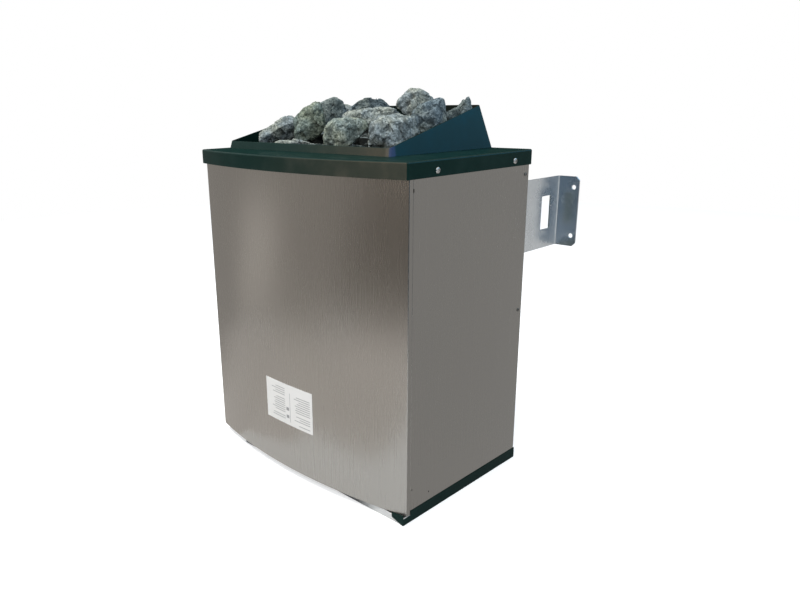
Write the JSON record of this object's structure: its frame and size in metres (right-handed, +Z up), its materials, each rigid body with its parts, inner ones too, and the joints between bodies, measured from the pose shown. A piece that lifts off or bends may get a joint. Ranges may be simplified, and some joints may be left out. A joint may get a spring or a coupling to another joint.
{
  "type": "sauna heater stove",
  "caption": "Wall-hung electric sauna heater: bowed brushed-steel casing, painted rim and sloping hood full of rough stones, tubular elements inside, hung on a sheet-metal wall bracket.",
  "frame": {"origin": "on the base plane, under the middle of the whole assembly from the bowed rim to the wall", "axes": "+Z up, +Y back towards the wall, +X to the right of someone facing the stove"},
  "size_m": [0.474, 0.386, 0.563],
  "materials": {
    "brushed_steel": "stainless sheet with a fine upright brushed grain",
    "teal_paint": "heat-proof paint, dark green-blue, semi-gloss with a fine grain",
    "galvanised": "zinc-coated sheet with a faint spangle",
    "screw_steel": "bright zinc-plated screw steel",
    "liner_steel": "heat-dulled aluminised sheet",
    "element_steel": "oxidised stainless element tube",
    "wire_sleeve": "matt silicone sleeve",
    "brass": "plain brass",
    "terminal_ceramic": "unglazed steatite",
    "black_plastic": "heat-proof nylon",
    "stove_stone": "rough split grey-green rock with fine speckle"
  },
  "bodies": {
    "bracket": {"wall_bracket": "galvanised"},
    "stove": {"front_panel": "brushed_steel", "left_side_panel": "brushed_steel", "right_side_panel": "brushed_steel", "rear_panel": "galvanised", "top_frame": "teal_paint", "stone_hood": "teal_paint", "left_base_skirt": "teal_paint", "right_base_skirt": "teal_paint", "base_pan": "galvanised", "left_hanger_hook": "galvanised", "right_hanger_hook": "galvanised", "rim_screw_left_front": "screw_steel", "rim_screw_left_rear": "screw_steel", "rim_screw_right_front": "screw_steel", "rim_screw_right_rear": "screw_steel", "side_screw_left_lower": "screw_steel", "side_screw_left_upper": "screw_steel", "side_screw_right_lower": "screw_steel", "side_screw_right_upper": "screw_steel", "inner_liner": "liner_steel", "front_heat_shield": "liner_steel", "stone_grate": "liner_steel", "left_grate_rail": "liner_steel", "right_grate_rail": "liner_steel", "element_flange": "liner_steel", "element_support": "liner_steel", "heating_element_1": "element_steel", "heating_element_2": "element_steel", "heating_element_3": "element_steel", "phase_wire_1": "wire_sleeve", "phase_wire_2": "wire_sleeve", "phase_wire_3": "wire_sleeve", "star_link": "brass", "earth_stud": "brass", "terminal_block": "terminal_ceramic", "terminal_bracket": "galvanised", "cable_gland": "black_plastic", "gland_nut": "black_plastic", "stone_left_wedge": "stove_stone", "stone_front_slab": "stove_stone", "stone_big_left": "stove_stone", "stone_blue": "stove_stone", "stone_back_small": "stove_stone", "stone_back_centre": "stove_stone", "stone_front_centre": "stove_stone", "stone_middle": "stove_stone", "stone_front_right": "stove_stone", "stone_peak": "stove_stone", "stone_right": "stove_stone", "stone_right_low": "stove_stone", "stone_right_point": "stove_stone", "stone_bed_1": "stove_stone", "stone_bed_2": "stove_stone", "stone_bed_3": "stove_stone", "stone_bed_4": "stove_stone", "stone_bed_5": "stove_stone", "stone_bed_6": "stove_stone", "stone_bed_7": "stove_stone", "stone_bed_8": "stove_stone"}
  },
  "joints": [
    {"name": "lift_off", "type": "slide", "parent": "bracket", "child": "stove", "axis": [0, 0, 1], "range_m": [0, 0.03]}
  ]
}
